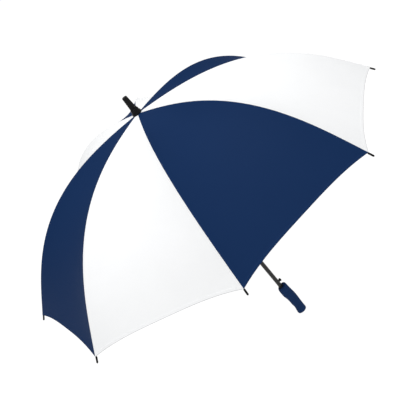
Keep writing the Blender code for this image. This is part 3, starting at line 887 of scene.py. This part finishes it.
def make_hubs():
    z = NOTCH[1]
    top, bottom, rim = z + EYE_R, z - 0.006, 0.001
    notch = [
        (BORE_R, top),
        (HUB_OUTER_R - rim, top),
        (HUB_OUTER_R, top - rim),
        (HUB_OUTER_R, z - 0.0028),
        (0.0105, bottom),
        (BORE_R, bottom),
    ]
    piece("top_notch_hub", hub_mesh(notch, z, 0.0080), plastic, "frame", ["top_notch"])
    piece("notch_wire_ring", ring_of_wire(z), zinc, "frame", ["notch_wire"])

    z = RUNNER[1]
    high, low = z + HUB_HALF_HEIGHT, z - HUB_HALF_HEIGHT
    neck_top, bottom = z + NECK_TOP, z + SKIRT_BOTTOM
    flange_low = neck_top - NECK_FLANGE_HEIGHT
    runner = [
        (BORE_R, neck_top),
        (NECK_FLANGE_R, neck_top),
        (NECK_FLANGE_R, flange_low),
        (NECK_R, flange_low),
        (NECK_R, high),
        (HUB_OUTER_R, high),
        (HUB_OUTER_R, low),
        (SKIRT_R, low - 0.003),
        (SKIRT_R, bottom + 0.030),
        (SKIRT_R + 0.0012, bottom + 0.028),
        (SKIRT_R + 0.0012, bottom + 0.025),
        (SKIRT_R, bottom + 0.023),
        (SKIRT_R, bottom + 0.009),
        (0.0118, bottom + 0.002),
        (0.0118, bottom),
        (BORE_R, bottom),
    ]
    body = hub_mesh(runner, z, HUB_HALF_HEIGHT + 0.001)
    piece("runner_body", body, plastic, "runner", ["runner"])
    piece("runner_wire_ring", ring_of_wire(z), zinc, "runner", ["runner_wire"])

    z = COLLAR[1]
    high, low = z + HUB_HALF_HEIGHT, z - HUB_HALF_HEIGHT
    bore = NECK_R + 0.0003
    collar = [(bore, high), (HUB_OUTER_R, high), (HUB_OUTER_R, low), (bore, low)]
    body = joined(hub_mesh(collar, z, HUB_HALF_HEIGHT + 0.001), ring_of_wire(z))
    piece("spring_collar_body", body, plastic, "spring_collar", ["spring_collar"])


def make_spring():
    low = COLLAR[1] + HUB_HALF_HEIGHT + 0.0009
    high = RUNNER[1] + NECK_TOP - NECK_FLANGE_HEIGHT - 0.0009
    per_turn = 24
    count = SPRING_TURNS * per_turn
    places = []
    for i in range(count + 1):
        angle = 2 * math.pi * i / per_turn
        height = low + (high - low) * i / count
        places.append((SPRING_R * math.cos(angle), SPRING_R * math.sin(angle), height))
    coil = tube(places, [SPRING_WIRE_R] * len(places), 2)
    spring = piece("opening_spring_coil", coil, zinc, "runner", ["opening_spring"])
    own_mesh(spring)


def at_button():
    """Puts something turned round Z on the button's axis, pointing out of the shaft."""
    outward = Matrix.Rotation(GRIP_AZIMUTH, 4, "Z") @ Matrix.Rotation(math.pi / 2, 4, "Y")
    return Matrix.Translation((0, 0, BUTTON_Z)) @ outward


def button_hole():
    near, far = 0.003, 0.012
    drill = [(0, far), (BUTTON_HOLE_R, far), (BUTTON_HOLE_R, near), (0, near)]
    return moved(turned(drill, 32, False), at_button())


def make_shaft():
    inner = SHAFT_R - SHAFT_WALL
    profile = [(inner, SHAFT_TOP), (SHAFT_R, SHAFT_TOP), (SHAFT_R, SHAFT_BOTTOM), (inner, SHAFT_BOTTOM)]
    tube_mesh = cut(turned(rounded(profile, 0.0002, 2), 96), button_hole())
    piece("shaft", tube_mesh, shaft_paint, "frame", ["shaft_tube"])

    cap = [
        (BORE_R, CAP_TOP),
        (0.0118, CAP_TOP),
        (0.0126, CAP_TOP - 0.002),
        (0.0138, CAP_BOTTOM + 0.011),
        (0.0154, CAP_BOTTOM + 0.006),
        (0.0161, CAP_BOTTOM + 0.003),
        (0.0157, CAP_BOTTOM),
        (BORE_R, CAP_BOTTOM),
    ]
    piece("cap", turned(rounded(cap, 0.0012, 4), 80), plastic, "frame", ["ferrule_cap"])

    low = CAP_TOP + 0.0003
    ferrule = [
        (0, TOTAL_HEIGHT),
        (0.0066, TOTAL_HEIGHT),
        (0.0081, TOTAL_HEIGHT - 0.0010),
        (0.0085, TOTAL_HEIGHT - 0.0032),
        (0.0104, low + 0.004),
        (0.0108, low + 0.002),
        (0.0108, low),
        (BORE_R, low),
        (BORE_R, SHAFT_TOP + 0.0003),
        (0, SHAFT_TOP + 0.0003),
    ]
    tip = turned(rounded(ferrule, 0.0010, 4, closed=False), 80, closed=False)
    piece("ferrule_tip", tip, plastic, "frame", ["ferrule"])


# ------------------------------------------------------------------ handle


def handle_outline(z):
    """The grip's two sides at this height, in its own plane: the finger side, then the thumb side."""
    heights, fingers, thumb = np.array(HANDLE_SIDES_AT).T
    return smooth_through(z, heights, fingers), smooth_through(z, heights, thumb)


def make_handle():
    sides, levels_between = 72, 64
    ends = [(0.0, 0.80), (0.0004, 0.855), (0.0015, 0.915), (0.0030, 0.955), (0.005, 0.98), (0.008, 0.996)]
    middle = np.linspace(0.011, HANDLE_LENGTH - 0.011, levels_between)
    levels = ends + [(z, 1.0) for z in middle] + [(HANDLE_LENGTH - z, share) for z, share in reversed(ends)]
    edit = bmesh.new()
    rings = []
    for z, share in levels:
        fingers, thumb = handle_outline(z)
        centre, half = (fingers + thumb) / 2, (thumb - fingers) / 2
        slope = HANDLE_TOP_SLOPE * (z / HANDLE_LENGTH) ** 3
        ring = []
        for i in range(sides):
            angle = 2 * math.pi * i / sides
            x = centre + half * share * math.cos(angle)
            y = HANDLE_DEPTH * share * math.sin(angle)
            ring.append(edit.verts.new((x, y, z + slope * (x - centre))))
        rings.append(ring)
    for lower, upper in zip(rings, rings[1:]):
        for i in range(sides):
            j = (i + 1) % sides
            edit.faces.new((lower[i], lower[j], upper[j], upper[i]))
    edit.faces.new(list(reversed(rings[0])))
    edit.faces.new(rings[-1])
    edit.transform(Matrix.Rotation(GRIP_AZIMUTH, 4, "Z"))
    mesh = bpy.data.meshes.new("handle")
    edit.to_mesh(mesh)
    edit.free()
    above = HANDLE_LENGTH + 0.02
    bore = turned([(0, above), (RING_R + 0.0003, above), (RING_R + 0.0003, 0.030), (0, 0.030)], 64, False)
    grip = piece("grip", cut(mesh, bore), foam, "frame", ["handle_grip"])

    profile = [
        (BORE_R, RING_HEAD),
        (RING_R - 0.0006, RING_HEAD),
        (RING_R, RING_HEAD - 0.0012),
        (RING_R, RING_FOOT),
        (BORE_R, RING_FOOT),
    ]
    ring = turned(rounded(profile, 0.0005, 3), 64)
    piece("entry_ring", ring, plastic, "frame", ["handle_ring"])
    button = [
        (0, 0.0160),
        (0.0030, 0.0157),
        (0.0050, 0.0148),
        (BUTTON_HEAD_R, 0.0135),
        (BUTTON_HEAD_R, 0.0120),
        (0.0050, 0.0110),
        (BUTTON_STEM_R, 0.0110),
        (BUTTON_STEM_R, 0.0036),
        (0, 0.0036),
    ]
    knob = moved(turned(rounded(button, 0.0007, 3, closed=False), 48, closed=False), at_button())
    piece("button_knob", knob, plastic, "push_button", ["push_button"])


# ------------------------------------------------------------------ camera, floor and light


def make_camera():
    data = bpy.data.cameras.new("camera")
    data.lens, data.sensor_width = CAMERA_LENS, SENSOR
    data.shift_x, data.shift_y = CAMERA_SHIFT
    data.clip_end = 200
    camera = bpy.data.objects.new("camera", data)
    bpy.context.scene.collection.objects.link(camera)
    tilted = Matrix.Rotation(math.pi / 2 - CAMERA_ELEVATION, 4, "X")
    upright = Matrix.Rotation(CAMERA_AZIMUTH, 4, "Z") @ tilted
    camera.matrix_world = Matrix.Translation(CAMERA_PLACE) @ upright @ Matrix.Rotation(CAMERA_ROLL, 4, "Z")
    bpy.context.scene.camera = camera


FLOOR_RADIUS = 60
FLOOR_COLOR = (0.10, 0.10, 0.10)
FLOOR_GLOW = 0.99  # the floor shines by itself, so it stays white and shows no shadow
SKY_COLOR = (0.985, 0.992, 1.0)
SKY_LIGHT = 0.40  # the light that comes from all round; the camera itself sees plain white there
KEY_PLACE = (0.35, -0.9, 5.2)
KEY_TARGET = (0, 0, 0.8)
KEY_SIZE = 3.0
KEY_POWER = 168


def make_stage():
    edit = bmesh.new()
    bmesh.ops.create_circle(edit, cap_ends=True, radius=FLOOR_RADIUS, segments=96)
    mesh = bpy.data.meshes.new("floor")
    edit.to_mesh(mesh)
    edit.free()
    floor = bpy.data.objects.new("floor", mesh)
    bpy.context.scene.collection.objects.link(floor)
    white = Shader("white_floor", FLOOR_COLOR, 0.9, Specular_IOR_Level=0.0)
    white.bsdf.inputs["Emission Color"].default_value = (1, 1, 1, 1)
    white.bsdf.inputs["Emission Strength"].default_value = FLOOR_GLOW
    mesh.materials.append(white.material)

    world = bpy.data.worlds.new("studio")
    world.use_nodes = True
    nodes, links = world.node_tree.nodes, world.node_tree.links
    sky = nodes["Background"]
    sky.inputs["Color"].default_value = (*SKY_COLOR, 1)
    sky.inputs["Strength"].default_value = SKY_LIGHT
    wall = nodes.new("ShaderNodeBackground")
    wall.inputs["Color"].default_value = (1, 1, 1, 1)
    seen = nodes.new("ShaderNodeLightPath")
    either = nodes.new("ShaderNodeMixShader")
    links.new(seen.outputs["Is Camera Ray"], either.inputs["Fac"])
    links.new(sky.outputs["Background"], either.inputs[1])
    links.new(wall.outputs["Background"], either.inputs[2])
    links.new(either.outputs["Shader"], nodes["World Output"].inputs["Surface"])
    bpy.context.scene.world = world

    def soft_light(name, place, target, size, power):
        data = bpy.data.lights.new(name, "AREA")
        data.shape, data.size, data.energy = "DISK", size, power
        lamp = bpy.data.objects.new(name, data)
        bpy.context.scene.collection.objects.link(lamp)
        aim = (Vector(target) - Vector(place)).to_track_quat("-Z", "Y")
        lamp.matrix_world = Matrix.Translation(place) @ aim.to_matrix().to_4x4()

    soft_light("key", KEY_PLACE, KEY_TARGET, KEY_SIZE, KEY_POWER)

    view = bpy.context.scene.view_settings
    view.view_transform = "Standard"
    view.look = "None"


make_canopy()
make_ribs()
make_hubs()
make_spring()
make_shaft()
make_handle()
make_camera()
make_stage()
